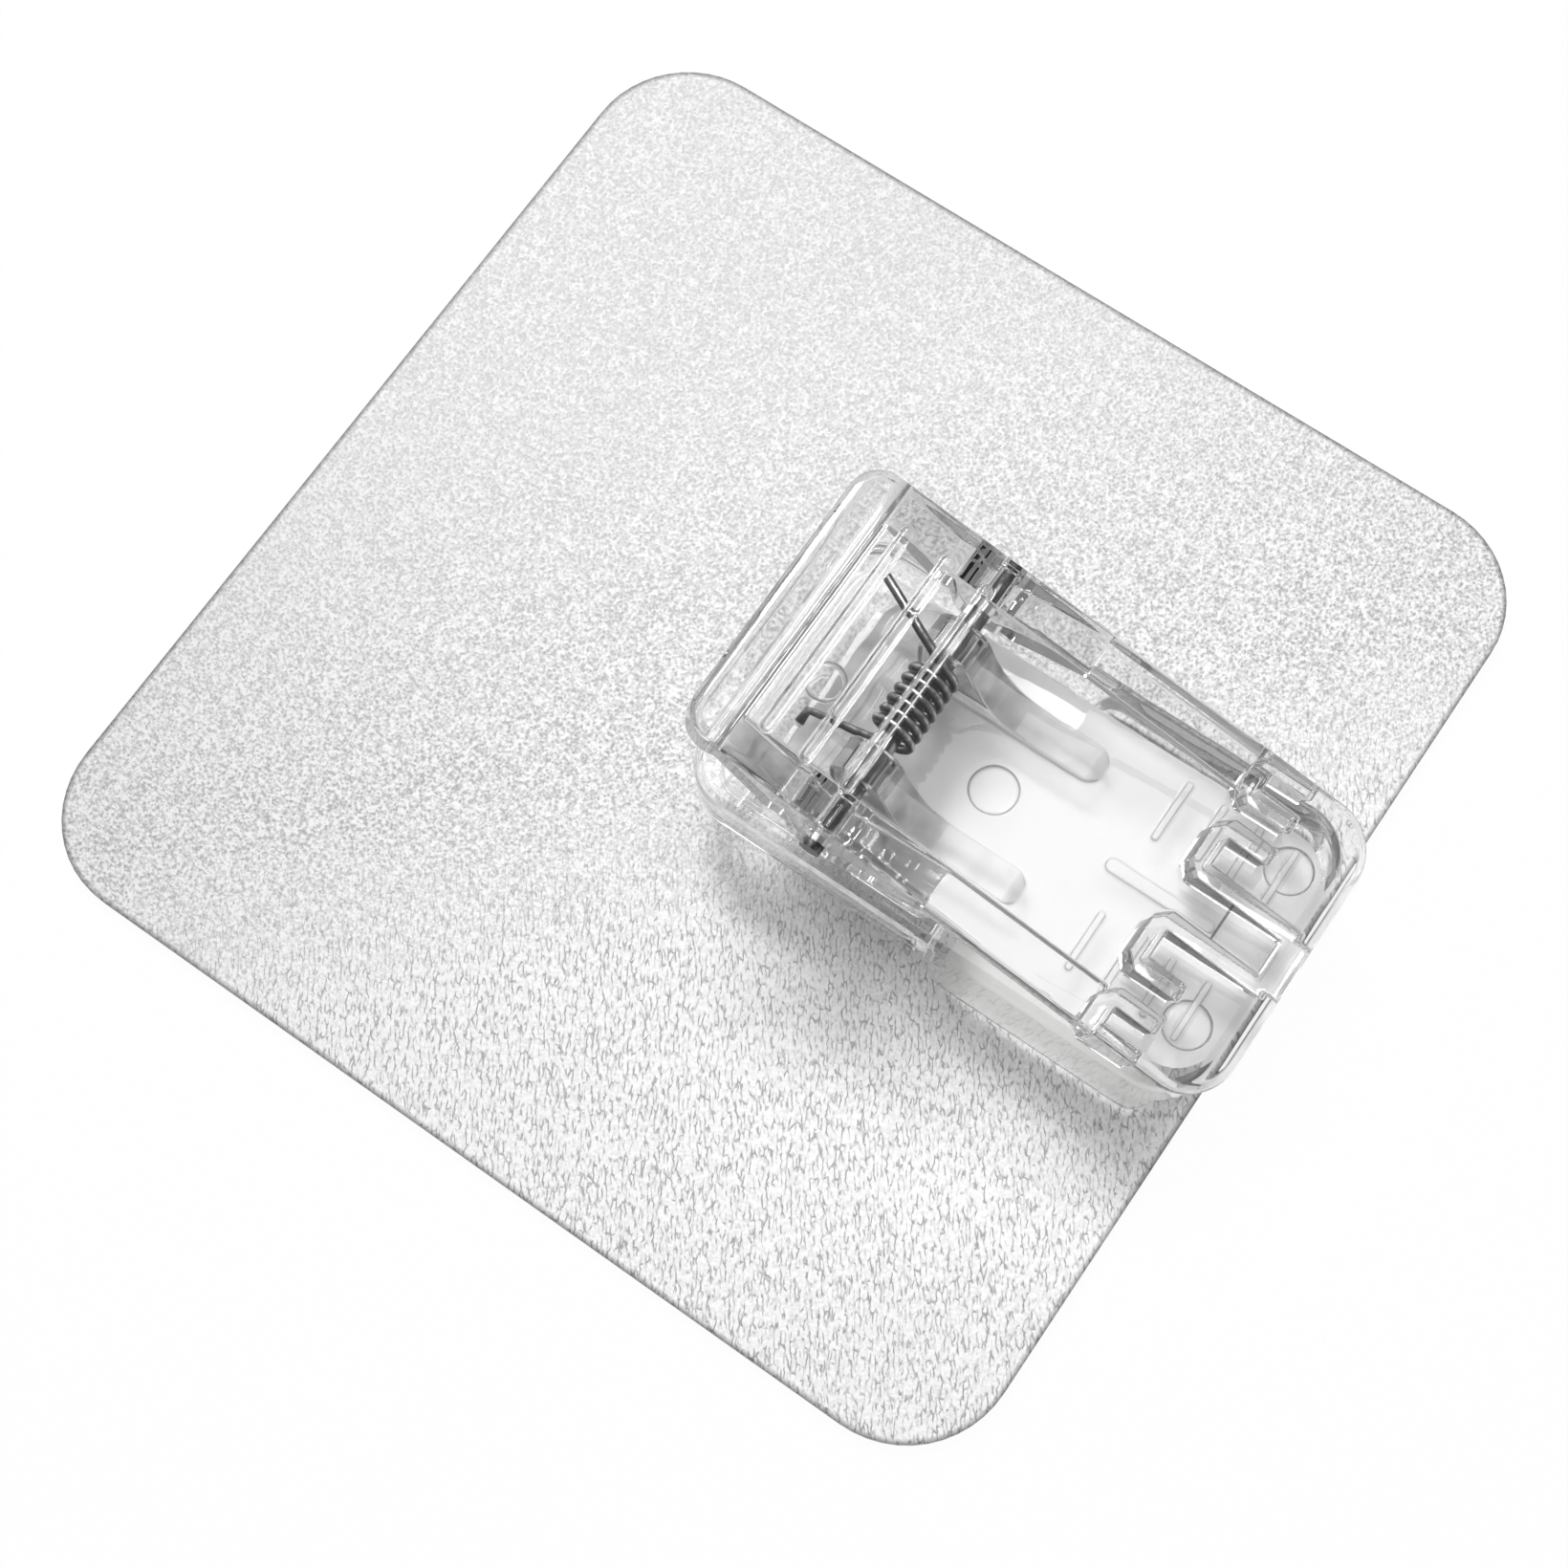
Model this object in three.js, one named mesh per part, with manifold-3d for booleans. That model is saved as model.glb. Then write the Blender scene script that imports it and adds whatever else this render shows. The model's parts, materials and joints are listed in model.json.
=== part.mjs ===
// Self-adhesive wall clip, in mm. The plate lies flat with its sticky face on Z = 0.
// +Z points away from the wall, +Y up the wall to the thumb end of the clip, and the jaw opens towards -Y.
import * as THREE from "three";
import { mergeVertices } from "three/addons/utils/BufferGeometryUtils.js";
import Module from "manifold-3d";

const wasm = await Module();
wasm.setup();

// Plate: three layers with one outline.
const plateSide = 60;
const plateCorner = 6;
const adhesiveThick = 0.25;
const sheetThick = 0.4;
const filmThick = 0.15;
const plateTop = adhesiveThick + sheetThick + filmThick;

// Clip base: a deck with a rim round it, raised on a foot under the jaw half.
const glueThick = 0.4;
const glueInset = 0.6;
const glueCorner = 1.5;
const baseWidth = 17.2;
const baseLength = 30.9;
const baseCorner = 3;
const baseEdge = 0.5;
const jawInset = 0.3;
const footInset = 1.7;
const footLength = 13.5;
const footHeight = 3.4;
const footCorner = 1.2;
const rimDepth = 3.4;
const rimWall = 1.4;
const deckThick = 1.8;
const footBottom = plateTop + glueThick;
const rimBottom = footBottom + footHeight;
const deckTop = rimBottom + rimDepth;
const jawEnd = -plateSide / 2 + jawInset;
const thumbEnd = jawEnd + baseLength;
const footJaw = jawEnd + footInset;
const footThumb = footJaw + footLength;

// Hinge: the pin runs along X through the cheeks of the lever and the ears of the base.
const pinRadius = 0.6;
const pinClearance = 0.1;
const pinOverhang = 0.5;
const pinFromThumb = 8.9;
const pinRise = 4.2;
const pinY = thumbEnd - pinFromThumb;
const pinZ = deckTop + pinRise;
const earWall = 1;
const earRadius = pinRadius + earWall;
const earInner = 2.9;
const earThick = 2;
const earToe = 9.4;
const earToeFlat = 4.3;
const earToeHeight = 0.6;

// Clip lever, in its own frame: the pin axis is the origin, +Y runs to the thumb end, +Z points out.
const leverClearance = 1.2;
const leverPlate = 1.1;
const leverUnder = earRadius + leverClearance;
const leverTop = leverUnder + leverPlate;
const railDepth = 2;
const leverEdge = 0.45;
const leverThumb = 9.1;
const leverTaper = 0.6;
const leverJawWidth = baseWidth;
const leverThumbWidth = leverJawWidth - leverTaper;
const jawCorner = 2.8;
const thumbCorner = 1.8;
const beadLength = 2.6;
const beadDepth = 2.5;
const beadRound = 0.9;
const cheekThick = 2.2;
const cheekInner = leverThumbWidth / 2 - cheekThick;
const cheekWall = 1.1;
const cheekRadius = pinRadius + cheekWall;
const cheekReach = 6;
const notchWidth = 1.2;
const notchDepth = 0.5;
const gripRibs = 3;
const gripFirst = 0.6;
const gripPitch = 2.4;
const gripWidth = 0.5;
const gripHeight = 0.35;
const gripMargin = 2;
const gripSpan = leverThumbWidth - 2 * gripMargin;

// The lever slopes so that its tip comes down to just above the deck, a little past the end of the base.
const tipGap = 1.3;
const tipOverhang = 0.85;
const tipReach = pinY - jawEnd + tipOverhang;
const tipDrop = pinRise - tipGap;
const tipDistance = Math.hypot(tipReach, tipDrop);
const leverTilt = Math.atan2(tipDrop, tipReach) + Math.asin(leverUnder / tipDistance);
const leverJaw = Math.sqrt(tipDistance ** 2 - leverUnder ** 2);

// Jaw: ribs on the deck, and frames under the lever that come down to just above them.
const toothCount = 4;
const toothPitch = 2.1;
const toothWidth = 0.35;
const toothHeight = 0.3;
const toothInner = 2.3;
const toothOuter = 5.9;
const toothFirst = 2.4;
const keelFirst = 3.7;
const keelLength = 6.3;
const keelWidth = 0.75;
const keelHeight = 0.25;
const jawGap = 0.3;
const frameWall = 0.85;
const frameReach = 7.4;
const frameLength = 3.2;
const frameChamfer = 0.7;
const channelHalf = 1.1;
const innerFrameWidth = 3.5;
const outerFrameWidth = 2.85;
const endWall = 1.4;
const tipRelief = 0.8;
const frameFront = leverJaw - frameReach;

// Ejector marks, as shallow discs sunk into the deck.
const markDepth = 0.12;
const thumbMark = { back: 3.7, side: 0, diameter: 2.2 };
const middleMark = { back: 14.1, side: 0, diameter: 2.6 };
const jawMark = { back: 28.7, side: 4.8, diameter: 2.5 };

// Torsion spring: one wire, wound round the pin between the ears.
const wireRadius = 0.25;
const wireRest = 0.12;
const coilRadius = 1.25;
const coilPitch = 0.95;
const coilTurns = 4;
const coilClearance = 0.25;
const coilStart = coilClearance + wireRadius - earInner;
const deckLegY = 4.6;
const deckLegX = coilStart - 0.1;
const leverLegInset = 4.1;
const leverLegY = leverThumb - leverLegInset;
const leverLegX = 4;
const hookLength = 0.8;
const wireSides = 5;
const stepsPerTurn = 8;

// A bite is how far a piece reaches into the one that it joins, and a cut how far a cutter runs past a face.
const bite = 0.4;
const cut = 1;
const arcSteps = 6;
const edgeSteps = 2;
const rodSides = 24;

// Booleans

function solidOf(geometry) {
  const bare = geometry.index ? geometry.toNonIndexed() : geometry.clone();
  bare.deleteAttribute("normal");
  bare.deleteAttribute("uv");
  const merged = mergeVertices(bare, 1e-4);
  return new wasm.Manifold(
    new wasm.Mesh({
      numProp: 3,
      vertProperties: merged.attributes.position.array,
      triVerts: new Uint32Array(merged.index.array),
    }),
  );
}

function geometryOf(solid) {
  const mesh = solid.getMesh();
  const geometry = new THREE.BufferGeometry();
  geometry.setAttribute("position", new THREE.BufferAttribute(mesh.vertProperties, 3));
  geometry.setIndex(new THREE.BufferAttribute(mesh.triVerts, 1));
  return geometry;
}

function union(solids) {
  return solids.reduce((sum, solid) => sum.add(solid));
}

// Outlines and solids

// A closed outline with rounded corners, from points given anticlockwise and a radius for each.
function roundedOutline(corners, radii) {
  const shape = new THREE.Shape();
  corners.forEach((here, i) => {
    const radius = radii[i];
    const before = corners[(i + corners.length - 1) % corners.length];
    const after = corners[(i + 1) % corners.length];
    const from = before.clone().sub(here).normalize();
    const to = after.clone().sub(here).normalize();
    const half = Math.acos(THREE.MathUtils.clamp(from.dot(to), -1, 1)) / 2;
    const middle = from.clone().add(to).normalize();
    const centre = here.clone().addScaledVector(middle, radius / Math.sin(half));
    const start = here.clone().addScaledVector(from, radius / Math.tan(half)).sub(centre);
    const stop = here.clone().addScaledVector(to, radius / Math.tan(half)).sub(centre);
    shape.absarc(centre.x, centre.y, radius, start.angle(), stop.angle(), false);
  });
  return shape;
}

function rectangle(x0, x1, y0, y1, radius) {
  const [left, right] = [Math.min(x0, x1), Math.max(x0, x1)];
  const limited = Math.min(radius, (right - left) * 0.45, (y1 - y0) * 0.45);
  const corners = [
    new THREE.Vector2(left, y0),
    new THREE.Vector2(right, y0),
    new THREE.Vector2(right, y1),
    new THREE.Vector2(left, y1),
  ];
  return roundedOutline(corners, corners.map(() => limited));
}

// A bar with round ends, in plan, centred on y.
function bar(x0, x1, y, width) {
  return rectangle(x0, x1, y - width / 2, y + width / 2, width / 2);
}

// A flat outline raised from z0 to z1. With an edge, its top and bottom edges are rounded by that radius.
function prism(shape, z0, z1, edge = 0) {
  const options = {
    depth: z1 - z0 - 2 * edge,
    bevelEnabled: edge > 0,
    bevelThickness: edge,
    bevelSize: edge,
    bevelOffset: -edge,
    bevelSegments: edgeSteps,
    curveSegments: arcSteps,
  };
  return solidOf(new THREE.ExtrudeGeometry(shape, options).translate(0, 0, z0 + edge));
}

// A side profile, drawn with Y to the right and Z up, run along X between two places.
function slice(shape, xa, xb) {
  const options = { depth: Math.abs(xb - xa), bevelEnabled: false, curveSegments: arcSteps };
  const turn = new THREE.Matrix4().makeBasis(
    new THREE.Vector3(0, 1, 0),
    new THREE.Vector3(0, 0, 1),
    new THREE.Vector3(1, 0, 0),
  );
  const geometry = new THREE.ExtrudeGeometry(shape, options).applyMatrix4(turn);
  return solidOf(geometry.translate(Math.min(xa, xb), 0, 0));
}

function box(x0, x1, y0, y1, z0, z1) {
  const geometry = new THREE.BoxGeometry(x1 - x0, y1 - y0, z1 - z0);
  return solidOf(geometry.translate((x0 + x1) / 2, (y0 + y1) / 2, (z0 + z1) / 2));
}

function rod(radius, half, y, z) {
  const geometry = new THREE.CylinderGeometry(radius, radius, 2 * half, rodSides);
  return solidOf(geometry.rotateZ(Math.PI / 2).translate(0, y, z));
}

function disc(diameter, x, y, z0, z1) {
  const geometry = new THREE.CylinderGeometry(diameter / 2, diameter / 2, z1 - z0, rodSides);
  return solidOf(geometry.rotateX(Math.PI / 2).translate(x, y, (z0 + z1) / 2));
}

// Plate layers

function plateLayer(z0, z1) {
  const half = plateSide / 2;
  return prism(rectangle(-half, half, -half, half, plateCorner), z0, z1);
}

// Glue under the foot

function bondPad() {
  const half = baseWidth / 2 - glueInset;
  const outline = rectangle(-half, half, footJaw + glueInset, footThumb - glueInset, glueCorner);
  return prism(outline, plateTop, footBottom);
}

// Clip base

// One ear stands on the deck, rounds over the pin and sweeps down to a low toe towards the jaw.
function earProfile() {
  const root = deckTop - bite;
  const toe = pinY - earToe;
  const toeTop = deckTop + earToeHeight;
  const shape = new THREE.Shape();
  shape.moveTo(toe, root);
  shape.lineTo(pinY + earRadius, root);
  shape.lineTo(pinY + earRadius, pinZ);
  shape.absarc(pinY, pinZ, earRadius, 0, Math.PI * 0.9, false);
  shape.quadraticCurveTo(pinY - earRadius * 1.7, toeTop, toe + earToeFlat, toeTop);
  shape.lineTo(toe + earToeHeight, toeTop);
  shape.lineTo(toe, deckTop);
  return shape;
}

function ejectorMarks() {
  const marks = [thumbMark, middleMark, jawMark, { ...jawMark, side: -jawMark.side }];
  const floor = deckTop - markDepth;
  const discs = marks.map((mark) => {
    return disc(mark.diameter, mark.side, thumbEnd - mark.back, floor, deckTop + cut);
  });
  return union(discs);
}

// The ear with its toe rounded in plan.
function ear(side) {
  const inner = side * earInner;
  const outer = side * (earInner + earThick);
  const toe = rectangle(inner, outer, pinY - earToe, pinY + 2 * earToe, earThick / 2);
  const reach = prism(toe, deckTop - bite - cut, pinZ + earRadius + cut);
  return slice(earProfile(), inner, outer).intersect(reach);
}

function clipBase() {
  const half = baseWidth / 2;
  const outline = rectangle(-half, half, jawEnd, thumbEnd, baseCorner);
  const inner = half - rimWall;
  const pocketCorner = Math.max(baseCorner - rimWall, rimWall / 2);
  const pocket = rectangle(-inner, inner, footThumb, thumbEnd - rimWall, pocketCorner);
  const foot = rectangle(-half, half, footJaw, footThumb, footCorner);
  const rim = prism(outline, rimBottom, deckTop, baseEdge)
    .subtract(prism(pocket, rimBottom - cut, deckTop - deckThick))
    .subtract(ejectorMarks());
  const parts = [rim, prism(foot, footBottom, deckTop - deckThick / 2)];
  for (const side of [-1, 1]) {
    parts.push(ear(side));
    for (let i = 0; i < toothCount; i++) {
      const y = jawEnd + toothFirst + i * toothPitch;
      const rib = bar(side * toothInner, side * toothOuter, y, toothWidth);
      parts.push(prism(rib, deckTop - bite, deckTop + toothHeight));
    }
  }
  const keelStart = jawEnd + keelFirst;
  const keel = rectangle(-keelWidth / 2, keelWidth / 2, keelStart, keelStart + keelLength, keelWidth / 2);
  parts.push(prism(keel, deckTop - bite, deckTop + keelHeight));
  return union(parts).subtract(rod(pinRadius + pinClearance, half, pinY, pinZ));
}

// Clip lever

function leverOutline() {
  const a = leverThumbWidth / 2;
  const b = leverJawWidth / 2;
  const corners = [
    new THREE.Vector2(-b, -leverJaw),
    new THREE.Vector2(b, -leverJaw),
    new THREE.Vector2(a, leverThumb),
    new THREE.Vector2(-a, leverThumb),
  ];
  return roundedOutline(corners, [jawCorner, jawCorner, thumbCorner, thumbCorner]);
}

// One cheek hangs from the lever: a web at the thumb end, a notch, and a lug round the pin, rising to the jaw.
function cheekProfile() {
  const root = leverUnder + bite;
  const rail = leverTop - railDepth;
  const web = leverThumb - beadLength;
  const shape = new THREE.Shape();
  shape.moveTo(web, root);
  shape.lineTo(-cheekReach, root);
  shape.lineTo(-cheekReach, rail);
  shape.lineTo(-cheekRadius * 1.6, 0);
  shape.absarc(0, 0, cheekRadius, Math.PI * 1.18, Math.PI * 1.9, false);
  shape.lineTo(cheekRadius + notchWidth / 3, notchDepth);
  shape.lineTo(cheekRadius + notchWidth, 0);
  shape.lineTo(web, rail);
  return shape;
}

// A frame is a wall round three sides, open towards the jaw tip, with its front corners cut off.
// Its two long walls reach as far from the pin as they are told.
function framePlan(x0, x1, leftReach, rightReach) {
  const front = -frameFront;
  const shape = new THREE.Shape();
  shape.moveTo(x0, -leftReach);
  shape.lineTo(x0 + frameWall, -leftReach);
  shape.lineTo(x0 + frameWall, front - frameWall);
  shape.lineTo(x1 - frameWall, front - frameWall);
  shape.lineTo(x1 - frameWall, -rightReach);
  shape.lineTo(x1, -rightReach);
  shape.lineTo(x1, front - frameChamfer);
  shape.lineTo(x1 - frameChamfer, front);
  shape.lineTo(x0 + frameChamfer, front);
  shape.lineTo(x0, front - frameChamfer);
  return shape;
}

// The frames and the wall at the tip, cut level so that they close on the deck.
function leverTeeth(low) {
  const root = leverUnder + bite;
  const long = leverJaw - tipRelief;
  const short = frameFront + frameLength;
  const inner = channelHalf + innerFrameWidth;
  const edge = leverJawWidth / 2;
  const plans = [
    framePlan(channelHalf, inner, long, short),
    framePlan(-inner, -channelHalf, short, long),
    framePlan(edge - outerFrameWidth, edge, short, short),
    framePlan(-edge, outerFrameWidth - edge, short, short),
  ];
  const walls = plans.map((plan) => prism(plan, low, root));
  const across = channelHalf + frameWall / 2;
  walls.push(box(-across, across, -leverJaw, endWall - leverJaw, low, root));
  const seat = deckTop + toothHeight + jawGap - pinZ;
  const depth = 2 * tipDistance;
  const below = new THREE.BoxGeometry(2 * leverJawWidth, 2 * depth, depth);
  below.translate(0, 0, seat - depth / 2).rotateX(-leverTilt);
  return union(walls).subtract(solidOf(below));
}

function clipLever() {
  const outline = leverOutline();
  const low = leverUnder - pinRise * 2;
  const wide = leverJawWidth;
  const beadInner = leverThumb - beadLength;
  const plate = prism(outline, leverTop - railDepth, leverTop, leverEdge)
    .subtract(box(-cheekInner, cheekInner, -frameFront, beadInner, low, leverUnder))
    .subtract(box(-wide, wide, -leverJaw - cut, -frameFront, low, leverUnder));
  const bead = rectangle(beadInner, leverThumb, leverTop - beadDepth, leverTop, beadRound);
  const parts = [slice(bead, -wide, wide), leverTeeth(low)];
  for (const side of [-1, 1]) {
    parts.push(slice(cheekProfile(), side * cheekInner, side * wide));
  }
  const hanging = union(parts).intersect(prism(outline, low, leverTop - leverEdge));
  const grips = [];
  for (let i = 0; i < gripRibs; i++) {
    const rib = bar(-gripSpan / 2, gripSpan / 2, gripFirst + i * gripPitch, gripWidth);
    grips.push(prism(rib, leverTop - bite, leverTop + gripHeight));
  }
  return union([plate, hanging, ...grips]).subtract(rod(pinRadius + pinClearance, wide, 0, 0));
}

// Torsion spring

// The angle at which a straight leg from (y, z) meets the coil, seen along X from the pin axis.
function tangentAngle(y, z, side) {
  return Math.atan2(z, y) + side * Math.acos(coilRadius / Math.hypot(y, z));
}

function springPath() {
  const deckLegZ = wireRadius + wireRest - pinRise;
  const leverLeg = new THREE.Vector3(leverLegX, leverLegY, leverUnder - wireRadius - wireRest);
  leverLeg.applyAxisAngle(new THREE.Vector3(1, 0, 0), leverTilt);
  const first = tangentAngle(deckLegY, deckLegZ, -1);
  const last = tangentAngle(leverLeg.y, leverLeg.z, 1) - (coilTurns + 1) * 2 * Math.PI;
  const turns = (first - last) / (2 * Math.PI);
  const steps = Math.round(turns * stepsPerTurn);
  const points = [
    new THREE.Vector3(deckLegX - hookLength, deckLegY, deckLegZ),
    new THREE.Vector3(deckLegX, deckLegY, deckLegZ),
  ];
  for (let i = 0; i <= steps; i++) {
    const angle = first - (2 * Math.PI * turns * i) / steps;
    const x = coilStart + (coilPitch * turns * i) / steps;
    points.push(new THREE.Vector3(x, coilRadius * Math.cos(angle), coilRadius * Math.sin(angle)));
  }
  points.push(leverLeg);
  const axis = new THREE.Vector3(0, pinY, pinZ);
  return points.map((point) => point.add(axis));
}

// A closed tube along the points. Each ring lies square to the mean direction of the wire at its point.
function wire(points) {
  const last = points.length - 1;
  const positions = [];
  const faces = [];
  let normal = new THREE.Vector3(0, 0, 1);
  points.forEach((point, i) => {
    const incoming = point.clone().sub(points[Math.max(i - 1, 0)]).normalize();
    const outgoing = points[Math.min(i + 1, last)].clone().sub(point).normalize();
    const along = incoming.add(outgoing).normalize();
    normal = normal.clone().addScaledVector(along, -normal.dot(along)).normalize();
    const across = along.clone().cross(normal);
    for (let k = 0; k < wireSides; k++) {
      const turn = (2 * Math.PI * k) / wireSides;
      const rim = point.clone();
      rim.addScaledVector(normal, wireRadius * Math.cos(turn));
      rim.addScaledVector(across, wireRadius * Math.sin(turn));
      positions.push(rim.x, rim.y, rim.z);
    }
  });
  for (let i = 0; i < last; i++) {
    for (let k = 0; k < wireSides; k++) {
      const a = i * wireSides + k;
      const b = i * wireSides + ((k + 1) % wireSides);
      faces.push(a, b, b + wireSides, a, b + wireSides, a + wireSides);
    }
  }
  const end = last * wireSides;
  for (let k = 1; k + 1 < wireSides; k++) {
    faces.push(0, k + 1, k);
    faces.push(end, end + k, end + k + 1);
  }
  const geometry = new THREE.BufferGeometry();
  geometry.setAttribute("position", new THREE.Float32BufferAttribute(positions, 3));
  geometry.setIndex(faces);
  return solidOf(geometry);
}

// The least space between two stretches of the wire that lie at least half a turn apart along it.
function leastGap(points) {
  const perStep = 8;
  const fine = [];
  for (let i = 0; i + 1 < points.length; i++) {
    for (let k = 0; k < perStep; k++) {
      fine.push(points[i].clone().lerp(points[i + 1], k / perStep));
    }
  }
  let least = Infinity;
  fine.forEach((a, i) => {
    let walked = 0;
    for (let j = i + 1; j < fine.length; j++) {
      walked += fine[j].distanceTo(fine[j - 1]);
      if (walked > coilRadius * Math.PI) {
        least = Math.min(least, a.distanceTo(fine[j]));
      }
    }
  });
  return least - 2 * wireRadius;
}

// Materials

const clearPlastic = new THREE.MeshStandardMaterial({
  color: 0xeef3f4,
  roughness: 0.06,
  metalness: 0,
  transparent: true,
  opacity: 0.35,
});
const silverFilm = new THREE.MeshStandardMaterial({ color: 0xdfe0e1, roughness: 0.4, metalness: 0.85 });
const greySheet = new THREE.MeshStandardMaterial({ color: 0xb9bbbd, roughness: 0.6, metalness: 0 });
const clearGel = new THREE.MeshStandardMaterial({
  color: 0xe9eae4,
  roughness: 0.3,
  metalness: 0,
  transparent: true,
  opacity: 0.6,
});
const steel = new THREE.MeshStandardMaterial({ color: 0x8b8d90, roughness: 0.3, metalness: 1 });

function node(name, solid, material) {
  const mesh = new THREE.Mesh(geometryOf(solid), material);
  mesh.name = name;
  return mesh;
}

// Assembly

const part = new THREE.Group();
part.name = "adhesive_clip";

const filmBottom = adhesiveThick + sheetThick;
part.add(node("adhesive_layer", plateLayer(0, adhesiveThick), clearGel));
part.add(node("backing_sheet", plateLayer(adhesiveThick, filmBottom), greySheet));
part.add(node("face_film", plateLayer(filmBottom, plateTop), silverFilm));
part.add(node("bond_pad", bondPad(), clearGel));
part.add(node("clip_base", clipBase(), clearPlastic));
part.add(node("hinge_pin", rod(pinRadius, leverThumbWidth / 2 + pinOverhang, pinY, pinZ), steel));

const springPoints = springPath();
console.log("least gap of the spring to itself", leastGap(springPoints).toFixed(3), "mm");
part.add(node("torsion_spring", wire(springPoints), steel));

const lever = new THREE.Group();
lever.name = "lever";
lever.position.set(0, pinY, pinZ);
lever.rotation.x = leverTilt;
lever.add(node("clip_lever", clipLever(), clearPlastic));
part.add(lever);

export default part;
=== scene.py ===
"""Looks of a self-adhesive wall clip: a clear sprung clip on a square plate with a silver, embossed face."""

import json
import math

import bmesh
import bpy
from mathutils import Matrix, Quaternion, Vector, noise


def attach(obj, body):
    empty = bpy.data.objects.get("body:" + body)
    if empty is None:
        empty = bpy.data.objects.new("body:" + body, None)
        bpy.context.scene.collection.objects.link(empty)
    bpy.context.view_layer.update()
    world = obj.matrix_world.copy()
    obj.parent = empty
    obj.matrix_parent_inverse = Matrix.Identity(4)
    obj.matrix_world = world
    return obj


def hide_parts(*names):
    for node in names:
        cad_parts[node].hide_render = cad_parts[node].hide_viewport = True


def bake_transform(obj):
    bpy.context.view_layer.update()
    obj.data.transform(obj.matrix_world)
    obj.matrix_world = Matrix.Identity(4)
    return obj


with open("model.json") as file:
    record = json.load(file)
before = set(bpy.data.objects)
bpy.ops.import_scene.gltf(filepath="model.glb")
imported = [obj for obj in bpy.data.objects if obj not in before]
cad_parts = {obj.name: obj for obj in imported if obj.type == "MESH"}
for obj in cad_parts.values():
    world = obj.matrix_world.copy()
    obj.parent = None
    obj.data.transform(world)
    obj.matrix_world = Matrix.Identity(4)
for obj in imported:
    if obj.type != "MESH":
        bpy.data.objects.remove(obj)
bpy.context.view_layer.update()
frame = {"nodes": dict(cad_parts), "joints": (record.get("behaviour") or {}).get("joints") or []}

MM = 0.001

# Hinge: the lever's axis, as in the frame, and the lever's slope at rest
hinge = frame["joints"][0]
pin_axis = Vector(hinge["pos_m"])
lever_tilt = math.radians(14.06)

# Softening of the moulded pieces: its step in millimetres, its rounds, and the share of faces that is kept
voxel = 0.07
round_steps = 2
kept_faces = 0.3

# Steps round the corner of a flat layer and along its ragged edge
corner_steps = 6
ragged_steps = 60

# Plate: its outline, and the painted shade along the film's edge
plate_half = 30 * MM
plate_corner = 6 * MM
edge_shade_width = 0.32 * MM
edge_shade_level = 0.22

# Emboss of the film, drawn in painted shade: specks, and long cells whose outlines are bent and broken
speck_scale = 5600
speck_range = (0.3, 0.6)
speck_shade = 0.72
cell_scale = 4200
outline_range = (0.02, 0.18)
break_scale = 4800
break_range = (0.38, 0.55)
bend_scale = 2600
bend_size = 0.22 * MM
stroke_angle = math.radians(34.4)
stroke_draw = 0.3
stroke_ends = (-2 * MM, -18 * MM)

# Colour of the film: the levels of the painted shade in its emboss and of the painted light on its face, and
# between which places they change
emboss_shade_levels = (0.33, 0.5)
emboss_shade_ends = (-5 * MM, 26 * MM)
painted_light_levels = (0.91, 0.69)
painted_light_ends = (-30 * MM, 24 * MM)
painted_light_slant = 0.5

# Clear plastic: its patches of painted shade, the rays it turns back, the lamp light it passes, and its grey
# per metre
shade_patch_scale = 420
shade_patch_range = (0.35, 0.65)
most_turns = 4.5
flat_pass = 0.97
base_wall_pass = 0.12
lever_wall_pass = 0.15
base_grey = 12
lever_grey = 38
absorb_level = 0.5
wall_facing = (0.3, 0.7)

# Frosted underside of the deck: its half width, its ends, its corners, its height, and where painted shade
# makes it patchy
frost_half = 7.05 * MM
frost_ends = (-29.3 * MM, -2.6 * MM)
frost_corner = 2.4 * MM
frost_top = 6.27 * MM
frost_thick = 0.05 * MM
frost_shade = -8.2 * MM
shade_blur = 1.2 * MM

# Base: the height of its deck, where its rim and its foot begin, its ejector marks as X, Y and radius, and
# the width of the painted shade line round each
deck_top = 8.0 * MM
rim_inner = 7.2 * MM
rim_jaw = -27.8 * MM
rim_blur = 0.2 * MM
foot_end = -14.5 * MM
foot_blur = 0.5 * MM
marks = [(0, -2.5, 1.1), (0, -12.9, 1.3), (4.8, -27.5, 1.25), (-4.8, -27.5, 1.25)]
mark_shade_width = 0.07 * MM

# Lever, and where shade is painted on it: its gate mark, the thin line across the channel of its jaw, its
# cheeks, and its tooth frames
gate_mark = Vector((-4.0, 0.4, 17.1)) * MM
channel_line = -26.2 * MM
channel_half = 1.05 * MM
channel_top = 11.0 * MM
cheek_inner = 6.2 * MM
cheek_end = -14.0 * MM
bead_inner = -1.8 * MM
frame_start = -21.9 * MM
frame_tip = -28.5 * MM
frame_edge = 7.8 * MM
soft_edge = 0.3 * MM

# Glue under the foot: its half width, its two ends, its corners, and its ragged front; it wets the foot.
glue_half = 8.0 * MM
glue_ends = (-27.4 * MM, -15.3 * MM)
glue_corner = 1.5 * MM
glue_low = 0.8 * MM
glue_high = 1.27 * MM
glue_ragged = 0.35 * MM

# Torsion spring: the wire, its coil round the pin, and where its two legs end, seen from the pin axis.
wire_radius = 0.25 * MM
coil_radius = 1.12 * MM
coil_start = -1.8 * MM
coil_length = 4.1 * MM
coil_turns = 6
deck_leg = Vector((-1.9, 5.0, -3.92)) * MM
lever_leg = Vector((4.0, 5.0, 2.43)) * MM
hook_length = 0.8 * MM
steps_per_turn = 28
wire_sides = 12

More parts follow.
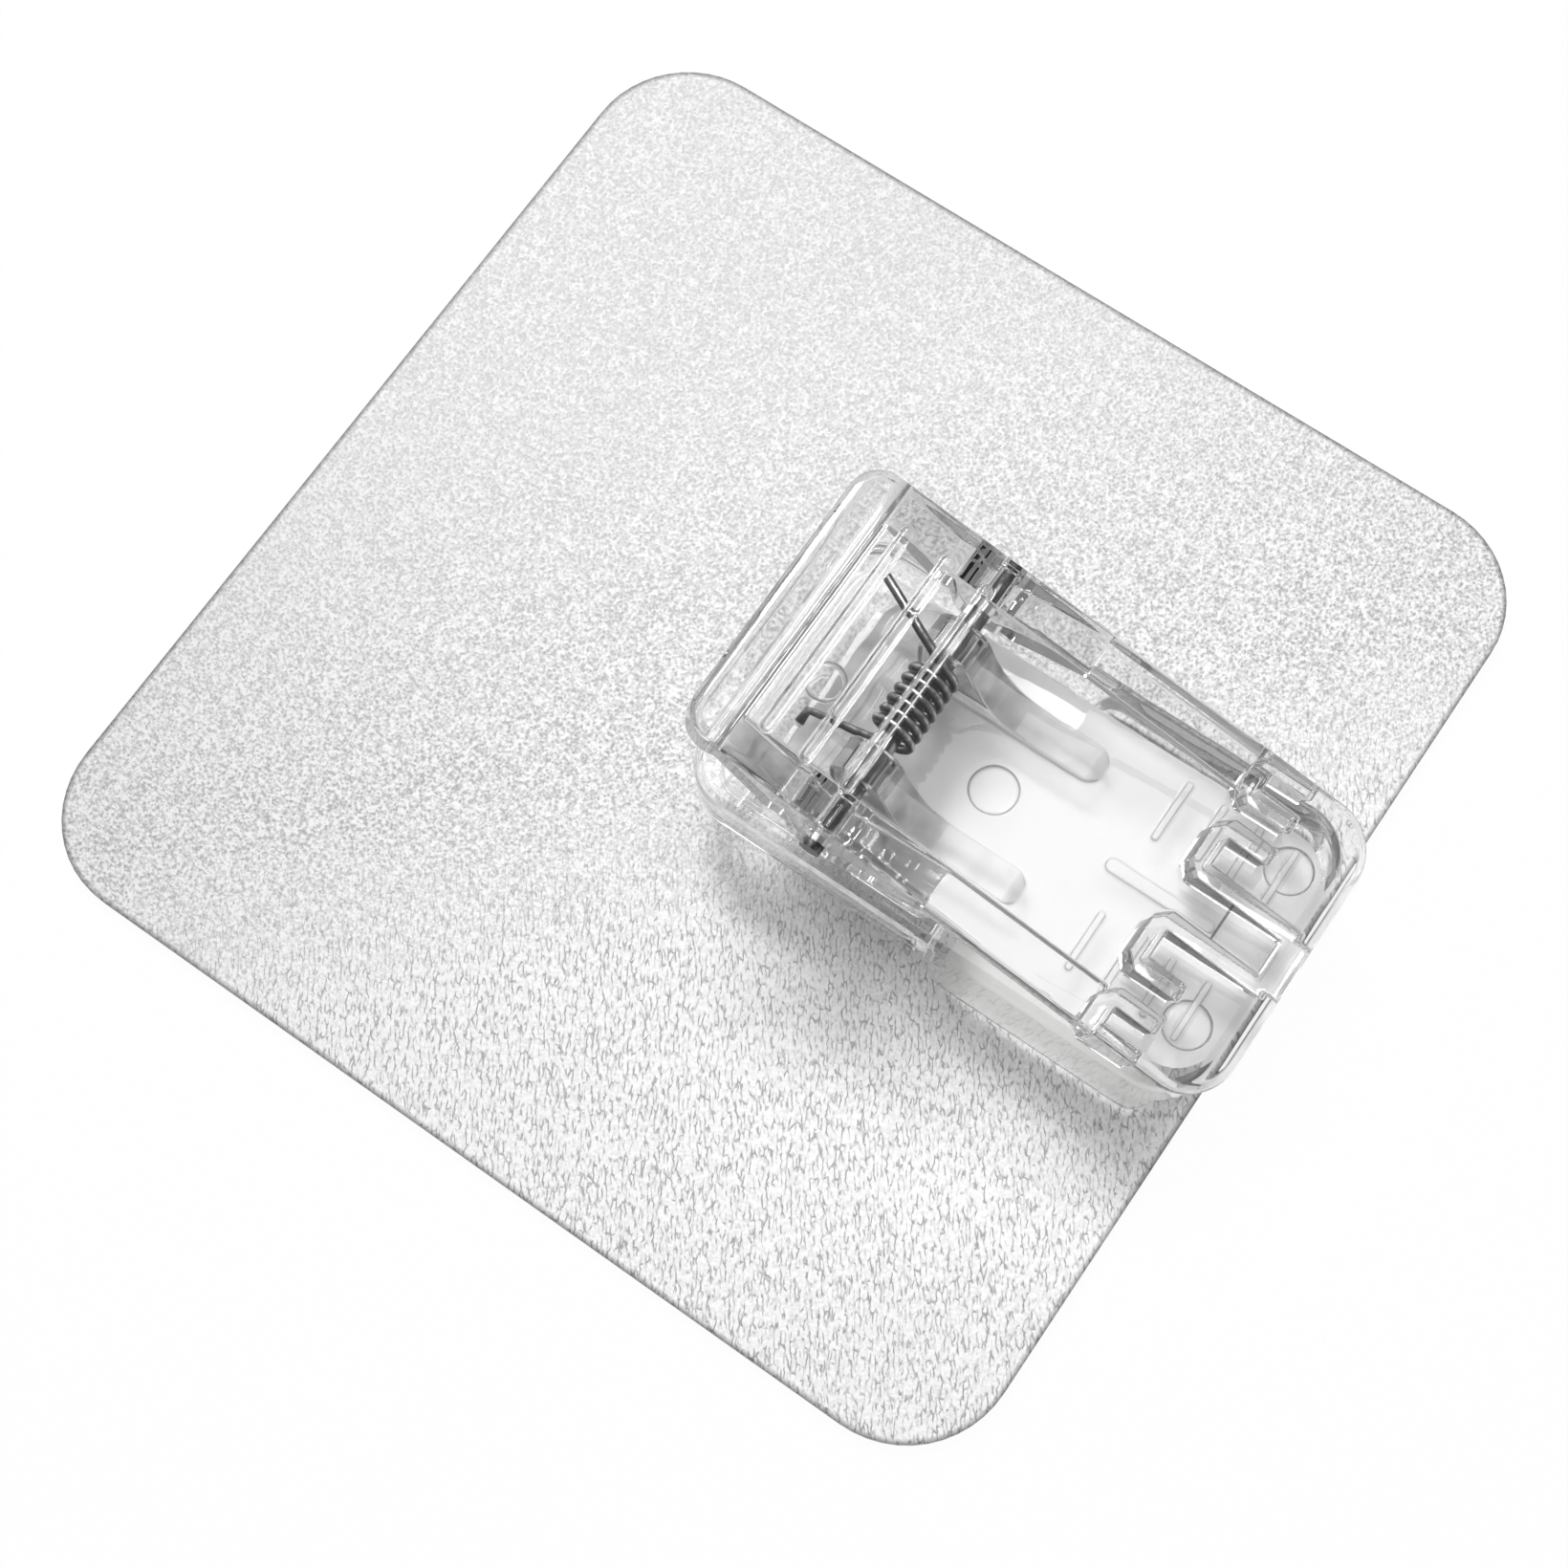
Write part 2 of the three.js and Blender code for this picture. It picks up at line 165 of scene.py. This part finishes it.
# Camera of the photograph
photo_side = 1640
camera_focal_px = 2826.5
camera_place = Vector((-37.79, -30.40, 140.08)) * MM
camera_aim = Vector((-3.737, -2.305, 0)) * MM
camera_roll = math.radians(-4.898)
sensor_width = 36
nearest_seen = 0.01

# Light
light_aim = Vector((0, -14, 8)) * MM
light_distance = 420 * MM
softbox_from = Vector((0.34, 0.4, 0.86)).normalized()
softbox_side = 110 * MM
softbox_radiance = 24
panel_from = Vector((0.28, 0.13, 0.95)).normalized()
panel_side = 260 * MM
panel_radiance = 2.6

# Stage: the floor's size in metres, how white it looks, the studio's levels by height, and its white low band
floor_half = 1.5
floor_white = 0.97
sky_levels = [(0.0, 0.3), (0.4, 0.33), (0.85, 0.34)]
low_band = (0.25, 0.15)


# Mesh helpers

def new_piece(name, mesh):
    piece = bpy.data.objects.new(name, mesh)
    bpy.context.scene.collection.objects.link(piece)
    return piece


def mesh_from(name, vertices, faces):
    mesh = bpy.data.meshes.new(name)
    mesh.from_pydata([tuple(v) for v in vertices], [], faces)
    mesh.update()
    return mesh


def settle(piece):
    """Turns the piece's modifiers into its mesh."""
    seen = piece.evaluated_get(bpy.context.evaluated_depsgraph_get())
    mesh = bpy.data.meshes.new_from_object(seen)
    piece.modifiers.clear()
    piece.data = mesh
    return mesh


def tube(name, path, radius, sides):
    """A closed round wire along the points of a path."""
    vertices = []
    faces = []
    last = len(path) - 1
    normal = Vector((0, 0, 1))
    for i, point in enumerate(path):
        into = (point - path[max(i - 1, 0)]).normalized()
        out = (path[min(i + 1, last)] - point).normalized()
        along = (into + out).normalized()
        normal = (normal - along * normal.dot(along)).normalized()
        across = along.cross(normal)
        for k in range(sides):
            turn = 2 * math.pi * k / sides
            vertices.append(point + radius * (normal * math.cos(turn) + across * math.sin(turn)))
    for i in range(last):
        for k in range(sides):
            a = i * sides + k
            b = i * sides + (k + 1) % sides
            faces.append((a, b, b + sides, a + sides))
    faces.append(tuple(range(sides - 1, -1, -1)))
    faces.append(tuple(last * sides + k for k in range(sides)))
    return mesh_from(name, vertices, faces)


# Material helpers

def new_material(name):
    material = bpy.data.materials.new(name)
    material.use_nodes = True
    tree = material.node_tree
    return material, tree, tree.nodes["Principled BSDF"]


def add(tree, kind, **settings):
    node = tree.nodes.new(kind)
    for key, value in settings.items():
        setattr(node, key, value)
    return node


def feed(tree, socket, value):
    """Links an input to the output of a node, or sets it to a plain value."""
    if isinstance(value, bpy.types.NodeSocket):
        tree.links.new(value, socket)
    else:
        socket.default_value = value


def math_node(tree, operation, *values):
    node = add(tree, "ShaderNodeMath", operation=operation)
    for socket, value in zip(node.inputs, values):
        feed(tree, socket, value)
    return node.outputs[0]


def vector_node(tree, operation, *values):
    node = add(tree, "ShaderNodeVectorMath", operation=operation)
    for socket, value in zip(node.inputs, values):
        feed(tree, socket, value)
    return node.outputs["Value" if operation in ("LENGTH", "DISTANCE") else "Vector"]


def object_place(tree):
    return add(tree, "ShaderNodeTexCoord").outputs["Object"]


def texture(tree, kind, vector, **inputs):
    """A texture node on a vector, with its inputs set by name."""
    node = add(tree, kind)
    tree.links.new(vector, node.inputs["Vector"])
    for key, value in inputs.items():
        node.inputs[key.title()].default_value = value
    return node


def grain_of(tree, vector, scale, detail):
    return texture(tree, "ShaderNodeTexNoise", vector, scale=scale, detail=detail).outputs["Fac"]


def ramp(tree, factor, stops):
    node = add(tree, "ShaderNodeValToRGB")
    elements = node.color_ramp.elements
    while len(elements) < len(stops):
        elements.new(0.5)
    for element, (place, level) in zip(elements, stops):
        element.position = place
        element.color = (level, level, level, 1) if isinstance(level, (int, float)) else (*level, 1)
    tree.links.new(factor, node.inputs["Fac"])
    return node.outputs["Color"]


def bump(tree, shader, height, depth):
    node = add(tree, "ShaderNodeBump")
    node.inputs["Distance"].default_value = depth
    tree.links.new(height, node.inputs["Height"])
    tree.links.new(node.outputs["Normal"], shader.inputs["Normal"])


def spread(tree, value, low, high, to_low=0.0, to_high=1.0):
    """A value spread over a new range and kept inside it."""
    node = add(tree, "ShaderNodeMapRange")
    tree.links.new(value, node.inputs["Value"])
    limits = {"From Min": low, "From Max": high, "To Min": to_low, "To Max": to_high}
    for name, limit in limits.items():
        feed(tree, node.inputs[name], limit)
    return node.outputs["Result"]


def past(tree, value, edge, blur, before, after):
    """One level before an edge and another after it, with a soft step that starts at the edge."""
    return spread(tree, value, edge, edge + blur, before, after)


def across(tree, value, edge, blur, before, after):
    """One level before an edge and another after it, with a soft step to both sides of the edge."""
    return spread(tree, value, edge - blur, edge + blur, before, after)


def times(tree, one, other):
    return vector_node(tree, "MULTIPLY", one, other)


def parts_of(tree, vector):
    """The X, Y and Z of a vector."""
    node = add(tree, "ShaderNodeSeparateXYZ")
    tree.links.new(vector, node.inputs[0])
    return node.outputs


def facing(tree, axis):
    """How far the surface faces along an axis, from -1 to 1."""
    return parts_of(tree, add(tree, "ShaderNodeNewGeometry").outputs["Normal"])[axis]


def size_of(tree, value):
    return math_node(tree, "ABSOLUTE", value)


def off_value(tree, value, level):
    """How far a value is from a level, either way."""
    return size_of(tree, math_node(tree, "SUBTRACT", value, level))


def mix_in(tree, share, shader, other):
    """Shows another shader in place of the first, by a share."""
    mix = add(tree, "ShaderNodeMixShader")
    tree.links.new(share, mix.inputs["Fac"])
    tree.links.new(shader.outputs["BSDF"], mix.inputs[1])
    tree.links.new(other.outputs[0], mix.inputs[2])
    tree.links.new(mix.outputs["Shader"], tree.nodes["Material Output"].inputs["Surface"])


# Materials

def from_edge(tree, place):
    """The distance in from the plate's rounded edge, as a share of the width of its rim of painted shade."""
    straight = plate_half - plate_corner
    beyond = vector_node(tree, "SUBTRACT", vector_node(tree, "ABSOLUTE", place), (straight, straight, 1))
    corner = vector_node(tree, "MAXIMUM", beyond, (0, 0, 0))
    return spread(tree, vector_node(tree, "LENGTH", corner), plate_corner, plate_corner - edge_shade_width)


def emboss(tree, place, along):
    """1 on the plain face of the film and 0 in its emboss, which is painted shade: fine specks, which pass
    into the broken outlines of long cells towards one corner."""
    turned = add(tree, "ShaderNodeMapping")
    turned.inputs["Rotation"].default_value = (0, 0, -stroke_angle)
    tree.links.new(place, turned.inputs["Vector"])
    drawn = vector_node(tree, "MULTIPLY", turned.outputs["Vector"], (stroke_draw, 1, 1))
    specks = grain_of(tree, place, speck_scale, 2)
    bend = texture(tree, "ShaderNodeTexNoise", place, scale=bend_scale, detail=1).outputs["Color"]
    wavy = vector_node(tree, "MULTIPLY_ADD", bend, (bend_size, bend_size, 0), drawn)
    cells = texture(tree, "ShaderNodeTexVoronoi", wavy, scale=cell_scale)
    cells.voronoi_dimensions = "2D"
    cells.feature = "DISTANCE_TO_EDGE"
    outlines = spread(tree, cells.outputs["Distance"], *outline_range)
    breaks = spread(tree, grain_of(tree, drawn, break_scale, 2), *break_range)
    strokes = math_node(tree, "MAXIMUM", outlines, breaks)
    clean = add(tree, "ShaderNodeMix")
    tree.links.new(spread(tree, along, *stroke_ends), clean.inputs[0])
    tree.links.new(spread(tree, specks, *speck_range), clean.inputs[2])
    tree.links.new(times(tree, strokes, spread(tree, specks, *speck_range, speck_shade, 1)), clean.inputs[3])
    return clean.outputs[0]


def silver_film():
    """Embossed silver film, with painted shade along its edge and in its emboss, and painted light that makes
    its face lighter towards one corner.
    """
    material, tree, shader = new_material("silver_film")
    place = object_place(tree)
    x, y, z = parts_of(tree, place)
    along = math_node(tree, "ADD", x, y)
    clean = emboss(tree, place, along)
    # Painted shade of the emboss, darker towards one corner.
    dark = spread(tree, along, *emboss_shade_ends, *emboss_shade_levels)
    # Painted light on the face, lighter towards the same corner.
    light = spread(tree, math_node(tree, "MULTIPLY_ADD", x, painted_light_slant, y), *painted_light_ends, *painted_light_levels)
    face = spread(tree, clean, 0, 1, dark, light)
    # Painted shade along the edge of the film.
    rim = ramp(tree, from_edge(tree, place), [(0.0, edge_shade_level), (1.0, 1.0)])
    tree.links.new(times(tree, face, rim), shader.inputs["Base Color"])
    shader.inputs["Metallic"].default_value = 0.12
    shader.inputs["Roughness"].default_value = 0.5
    bump(tree, shader, clean, 0.02 * MM)
    return material


def grey_sheet():
    """Cut edge of the backing sheet."""
    material, tree, shader = new_material("grey_sheet")
    grain = grain_of(tree, object_place(tree), 1500, 3)
    colour = ramp(tree, grain, [(0.3, (0.50, 0.50, 0.51)), (0.7, (0.60, 0.60, 0.61))])
    tree.links.new(colour, shader.inputs["Base Color"])
    shader.inputs["Roughness"].default_value = 0.6
    bump(tree, shader, grain, 0.05 * MM)
    return material


def soft_adhesive():
    """Tacky layer on the back of the plate."""
    material, tree, shader = new_material("soft_adhesive")
    grain = grain_of(tree, object_place(tree), 600, 3)
    colour = ramp(tree, grain, [(0.3, (0.66, 0.66, 0.63)), (0.7, (0.74, 0.74, 0.71))])
    tree.links.new(colour, shader.inputs["Base Color"])
    shader.inputs["Roughness"].default_value = 0.25
    bump(tree, shader, grain, 0.08 * MM)
    return material


def let_light_through(material, flat, wall, dim=None):
    """Lets lamps shine through a clear material: well through its flat faces, and less through its walls.
    What passes can be dimmed by another value, from place to place.
    A ray that has been turned too often goes straight on."""
    tree = material.node_tree
    path = add(tree, "ShaderNodeLightPath")
    clear = add(tree, "ShaderNodeBsdfTransparent")
    steep, level = wall_facing
    passed = ramp(tree, size_of(tree, facing(tree, "Z")), [(steep, wall), (level, flat)])
    if dim:
        passed = times(tree, passed, dim)
    lamp_ray = path.outputs["Is Shadow Ray"]
    tree.links.new(spread(tree, lamp_ray, 0, 1, flat, passed), clear.inputs["Color"])
    trapped = math_node(tree, "GREATER_THAN", path.outputs["Ray Depth"], most_turns)
    straight = math_node(tree, "MAXIMUM", lamp_ray, trapped)
    mix_in(tree, straight, tree.nodes["Principled BSDF"], clear)


def absorb(material, per_metre):
    """A slight grey that shows where the plastic is seen through its depth."""
    tree = material.node_tree
    body = add(tree, "ShaderNodeVolumeAbsorption")
    body.inputs["Color"].default_value = (absorb_level, absorb_level, absorb_level, 1)
    body.inputs["Density"].default_value = per_metre / absorb_level
    tree.links.new(body.outputs["Volume"], tree.nodes["Material Output"].inputs["Volume"])


def clear_plastic(name, grey):
    """Clear moulded plastic with slight flow ripples, and a little grey in its depth."""
    material, tree, shader = new_material(name)
    place = object_place(tree)
    shader.inputs["Base Color"].default_value = (0.985, 0.99, 0.99, 1)
    shader.inputs["Transmission Weight"].default_value = 1
    shader.inputs["IOR"].default_value = 1.58
    shader.inputs["Roughness"].default_value = 0.02
    bump(tree, shader, grain_of(tree, place, 350, 1), 0.03 * MM)
    absorb(material, grey)
    return material, tree, shader, place


def patchy(tree, place, low, high):
    """Soft patches of painted shade, a few millimetres across."""
    return spread(tree, grain_of(tree, place, shade_patch_scale, 2), *shade_patch_range, low, high)


def mark_edge_shade(tree, place):
    """Painted shade on the thin line round each ejector mark, and 1 elsewhere."""
    shade = None
    for x, y, radius in marks:
        away = vector_node(tree, "DISTANCE", place, Vector((x * MM, y * MM, deck_top)))
        line = spread(tree, off_value(tree, away, radius * MM), mark_shade_width / 2, mark_shade_width, 0.3, 1)
        shade = times(tree, shade, line) if shade else line
    return shade


def base_plastic():
    """The base: painted shade in patchy grey on its ears, on the sides of its ribs, and in a thin line round
    each ejector mark.
    Its rim and its rear take some of the light that falls through them."""
    material, tree, shader, place = clear_plastic("base_plastic", base_grey)
    x, y, z = parts_of(tree, place)
    # Painted shade: grey patches on the ears, grey on the steep sides of the ribs, and a thin line round each
    # ejector mark.
    ears = spread(tree, z, deck_top + 0.3 * MM, deck_top + 0.8 * MM, 0.985, patchy(tree, place, 0.5, 1))
    rib_side_shade = spread(tree, facing(tree, "Z"), 0.5, 0.95, 0.35, 1)
    above = spread(tree, z, deck_top + 0.3 * MM, deck_top + 0.6 * MM, rib_side_shade, 1)
    lines = spread(tree, z, deck_top + 0.02 * MM, deck_top + 0.06 * MM, mark_edge_shade(tree, place), above)
    tree.links.new(times(tree, ears, lines), shader.inputs["Base Color"])
    sides = across(tree, size_of(tree, x), rim_inner, rim_blur, 1, 0.25)
    jaw_end = across(tree, y, rim_jaw, rim_blur, 0.3, 1)
    rear = across(tree, y, frost_shade, shade_blur, 1, 0.7)
    let_light_through(material, flat_pass, base_wall_pass, times(tree, rear, times(tree, sides, jaw_end)))
    return material


def lever_plastic():
    """The lever, with painted shade: patchy grey cheeks, grey walls round its tooth frames, a dark spot at
    the gate mark on its thumb end, and a thin dark line under it, across the channel of its jaw."""
    material, tree, shader, place = clear_plastic("lever_plastic", lever_grey)
    x, y, z = parts_of(tree, place)
    from_middle = size_of(tree, x)
    # Painted shade: a dark spot at the gate mark, a thin line across the channel, grey patches on the cheeks,
    # and grey walls round the tooth frames.
    gate = spread(tree, vector_node(tree, "DISTANCE", place, gate_mark), 0.25 * MM, 0.5 * MM, 0.15, 1)
    on_line = spread(tree, off_value(tree, y, channel_line), 0.05 * MM, 0.09 * MM, 0.1, 1)
    in_channel = past(tree, from_middle, channel_half, 0.05 * MM, on_line, 1)
    line = past(tree, z, channel_top, 0.2 * MM, in_channel, 1)
    beside = past(tree, from_middle, cheek_inner, soft_edge, 1, patchy(tree, place, 0.7, 1))
    behind = past(tree, y, cheek_end, soft_edge, 1, beside)
    cheeks = past(tree, y, bead_inner, soft_edge, behind, 1)
    walls = spread(tree, size_of(tree, facing(tree, "Z")), *wall_facing, 0.72, 1)
    inside = past(tree, from_middle, frame_edge, soft_edge, walls, 1)
    before_tip = past(tree, y, frame_tip, soft_edge, 1, inside)
    frames = past(tree, y, frame_start, soft_edge, before_tip, 1)
    spot_and_line_shade = times(tree, gate, line)
    tree.links.new(times(tree, times(tree, cheeks, frames), spot_and_line_shade), shader.inputs["Base Color"])
    let_light_through(material, flat_pass, lever_wall_pass)
    return material


def clear_glue():
    """Milky glue that lets hardly any of the view through, and much of the lamps' light."""
    material, tree, shader = new_material("clear_glue")
    shader.inputs["Base Color"].default_value = (0.95, 0.95, 0.94, 1)
    shader.inputs["Transmission Weight"].default_value = 0.05
    shader.inputs["IOR"].default_value = 1.47
    shader.inputs["Roughness"].default_value = 0.15
    bump(tree, shader, grain_of(tree, object_place(tree), 900, 3), 0.15 * MM)
    let_light_through(material, 0.95, 0.5)
    return material


def frosted_plastic():
    """Matt, finely eroded plastic that scatters the light: white from above, and with painted shade in patchy
    grey behind the pin.
    Off the foot it passes less of the lamps' light."""
    material, tree, shader = new_material("frosted_plastic")
    place = object_place(tree)
    grain = grain_of(tree, place, 900, 3)
    colour = ramp(tree, grain, [(0.3, 0.97), (0.7, 0.99)])
    y = parts_of(tree, place)["Y"]
    # Painted shade in grey patches behind the pin.
    shade = across(tree, y, frost_shade, shade_blur, 1, patchy(tree, place, 0.4, 0.85))
    tree.links.new(times(tree, colour, shade), shader.inputs["Base Color"])
    shader.inputs["Roughness"].default_value = 0.7
    shader.inputs["Specular IOR Level"].default_value = 0.2
    bump(tree, shader, grain, 0.02 * MM)
    raised = across(tree, y, foot_end, foot_blur, 1, 0.3)
    let_light_through(material, flat_pass, flat_pass, raised)
    return material


def drawn_steel(name, draw, dark, bright, ends):
    """Drawn steel with fine lines. Light and shade are painted by which way it faces: dark where it faces
    along X, in the gaps between turns and on its ends, and bright across it, along its highlights.
    """
    material, tree, shader = new_material(name)
    drawn = vector_node(tree, "MULTIPLY", object_place(tree), (draw, 1, 1))
    streaks = grain_of(tree, drawn, 2600, 3)
    lines = ramp(tree, streaks, [(0.35, dark), (0.65, 1)])
    # Painted shade where the steel faces along X, and painted highlight where it faces across.
    end_on = size_of(tree, facing(tree, "X"))
    gaps = ramp(tree, end_on, [(0.1, bright), (0.5, bright / 4), (0.8, ends)])
    tree.links.new(times(tree, lines, gaps), shader.inputs["Base Color"])
    shader.inputs["Metallic"].default_value = 1
    shader.inputs["Roughness"].default_value = 0.22
    bump(tree, shader, streaks, 0.03 * MM)
    return material


# Plate and pin

def dress_nodes():
    """Materials of the nodes that are shown as they are."""
    looks = {
        "face_film": silver_film(),
        "backing_sheet": grey_sheet(),
        "adhesive_layer": soft_adhesive(),
        "hinge_pin": drawn_steel("pin_steel", draw=0.35, dark=0.1, bright=0.4, ends=0.05),
    }
    for name, material in looks.items():
        node = frame["nodes"][name]
        node.data.materials.clear()
        node.data.materials.append(material)


# Clear pieces

def moulded(node, name, material, tilt=0.0):
    """A copy of a rigid node with all its edges softened, as a moulded piece has them."""
    mesh = frame["nodes"][node].data.copy()
    upright = Matrix.Translation(pin_axis) @ Matrix.Rotation(tilt, 4, "X") @ Matrix.Scale(MM, 4)
    mesh.transform(upright.inverted())
    mesh.shade_smooth()
    piece = new_piece(name, mesh)
    skin = piece.modifiers.new("skin", "REMESH")
    skin.mode = "VOXEL"
    skin.voxel_size = voxel
    soft = piece.modifiers.new("soft", "SMOOTH")
    soft.factor = 0.5
    soft.iterations = round_steps
    light = piece.modifiers.new("fewer faces", "DECIMATE")
    light.ratio = kept_faces
    flat = piece.modifiers.new("flat faces", "WEIGHTED_NORMAL")
    flat.mode = "FACE_AREA"
    mesh = settle(piece)
    mesh.transform(upright)
    mesh.materials.clear()
    mesh.materials.append(material)
    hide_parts(node)
    return piece


def layer(name, half, ends, corner, low, high, material, ragged=0.0):
    """A flat layer with rounded corners, on the plate's body. Its edge towards +Y can be ragged."""
    straight = half - corner
    places = []
    for i, side in enumerate([-1, 1, 1, -1]):
        front = i > 1
        middle = Vector((side * straight, ends[front] + (-corner if front else corner), low))
        for k in range(corner_steps + 1):
            angle = math.pi * (1 + i / 2 + k / corner_steps / 2)
            places.append(middle + corner * Vector((math.cos(angle), math.sin(angle), 0)))
        if i == 2 and ragged:
            for k in range(1, ragged_steps):
                x = straight * (1 - 2 * k / ragged_steps)
                places.append(Vector((x, ends[1] + ragged * noise.noise(Vector((x / MM, 0, 0))), low)))
    form = bmesh.new()
    sheet = form.faces.new([form.verts.new(place) for place in places])
    raised = bmesh.ops.extrude_face_region(form, geom=[sheet])["geom"]
    top = [part for part in raised if isinstance(part, bmesh.types.BMVert)]
    bmesh.ops.translate(form, verts=top, vec=(0, 0, high - low))
    bmesh.ops.recalc_face_normals(form, faces=form.faces)
    mesh = bpy.data.meshes.new(name)
    form.to_mesh(mesh)
    form.free()
    mesh.materials.append(material)
    piece = new_piece(name, mesh)
    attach(piece, "plate")
    return piece


def frosted_underside():
    """The matt underside of the deck, as a thin layer in its lower face."""
    material = frosted_plastic()
    low = frost_top - frost_thick
    piece = layer("frosted_underside", frost_half, frost_ends, frost_corner, low, frost_top, material)


def glue_bed():
    """The glue, which reaches a little into the foot, as it leaves no air between them."""
    material = clear_glue()
    piece = layer("glue_bed", glue_half, glue_ends, glue_corner, glue_low, glue_high, material, glue_ragged)
    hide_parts("bond_pad")


# Spring

def tangent_angle(point, side):
    """The angle at which a straight leg from a point meets the coil, seen along X."""
    return math.atan2(point.z, point.y) + side * math.acos(coil_radius / math.hypot(point.y, point.z))


def spring_path():
    """The wire from its hooked end on the deck, round the pin and up under the lever."""
    up = lever_leg.copy()
    up.rotate(Quaternion((1, 0, 0), lever_tilt))
    first = tangent_angle(deck_leg, -1)
    last = tangent_angle(up, 1) - (coil_turns + 1) * 2 * math.pi
    steps = round((first - last) / (2 * math.pi) * steps_per_turn)
    path = [deck_leg - Vector((hook_length, 0, 0)), deck_leg]
    for i in range(steps + 1):
        angle = first + (last - first) * i / steps
        x = coil_start + coil_length * i / steps
        path.append(Vector((x, coil_radius * math.cos(angle), coil_radius * math.sin(angle))))
    path.append(up)
    return [pin_axis + point for point in path]


def torsion_spring(material):
    piece = new_piece("wound_spring", tube("wound_spring", spring_path(), wire_radius, wire_sides))
    piece.data.shade_smooth()
    piece.data.materials.append(material)
    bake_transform(piece)
    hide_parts("torsion_spring")


# Stage

def seen_rays(tree):
    """1 for the rays that show the background: straight, mirrored and refracted ones."""
    rays = add(tree, "ShaderNodeLightPath").outputs
    bent = math_node(tree, "MAXIMUM", rays["Is Glossy Ray"], rays["Is Transmission Ray"])
    return math_node(tree, "MAXIMUM", rays["Is Camera Ray"], bent)


def floor():
    """A pale floor that looks white and keeps a little of the shadow."""
    half = floor_half
    corners = [(-half, -half, 0), (half, -half, 0), (half, half, 0), (-half, half, 0)]
    piece = new_piece("floor", mesh_from("floor", corners, [(0, 1, 2, 3)]))
    material, tree, shader = new_material("white_floor")
    shader.inputs["Base Color"].default_value = (0.85, 0.85, 0.85, 1)
    shader.inputs["Roughness"].default_value = 0.9
    white = add(tree, "ShaderNodeEmission")
    mix_in(tree, spread(tree, seen_rays(tree), 0, 1, 0, floor_white), shader, white)
    piece.data.materials.append(material)


def sky():
    """A plain pale studio. Where the floor ends, its background is as white as the floor."""
    world = bpy.data.worlds.new("studio")
    world.use_nodes = True
    bpy.context.scene.world = world
    tree = world.node_tree
    height = parts_of(tree, add(tree, "ShaderNodeTexCoord").outputs["Generated"])["Z"]
    studio = ramp(tree, height, sky_levels)
    white = times(tree, seen_rays(tree), spread(tree, height, *low_band))
    tree.links.new(spread(tree, white, 0, 1, studio, 1), tree.nodes["Background"].inputs["Color"])


def soft_light(name, towards, side, radiance):
    """A square soft light over the clip, at the place where a direction points."""
    lamp = bpy.data.lights.new(name, "AREA")
    lamp.size = side
    lamp.energy = radiance * math.pi * side**2
    light = bpy.data.objects.new(name, lamp)
    light.location = light_aim + towards * light_distance
    light.rotation_mode = "QUATERNION"
    light.rotation_quaternion = (-towards).to_track_quat("-Z", "Y")
    bpy.context.scene.collection.objects.link(light)


def camera():
    lens = bpy.data.cameras.new("camera")
    lens.sensor_width = sensor_width
    lens.lens = sensor_width * camera_focal_px / photo_side
    lens.clip_start = nearest_seen
    seen = bpy.data.objects.new("camera", lens)
    seen.location = camera_place
    seen.rotation_mode = "QUATERNION"
    level = (camera_aim - camera_place).to_track_quat("-Z", "Y")
    seen.rotation_quaternion = level @ Quaternion((0, 0, 1), camera_roll)
    bpy.context.scene.collection.objects.link(seen)
    bpy.context.scene.camera = seen


# Scene

camera()
sky()
soft_light("softbox", softbox_from, softbox_side, softbox_radiance)
soft_light("panel", panel_from, panel_side, panel_radiance)
floor()
dress_nodes()

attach(moulded("clip_base", "moulded_base", base_plastic()), "plate")
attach(moulded("clip_lever", "moulded_lever", lever_plastic(), lever_tilt), "lever")
frosted_underside()
glue_bed()
torsion_spring(drawn_steel("spring_steel", draw=1, dark=0.4, bright=0.6, ends=0.012))

bpy.context.scene.view_settings.view_transform = "Standard"
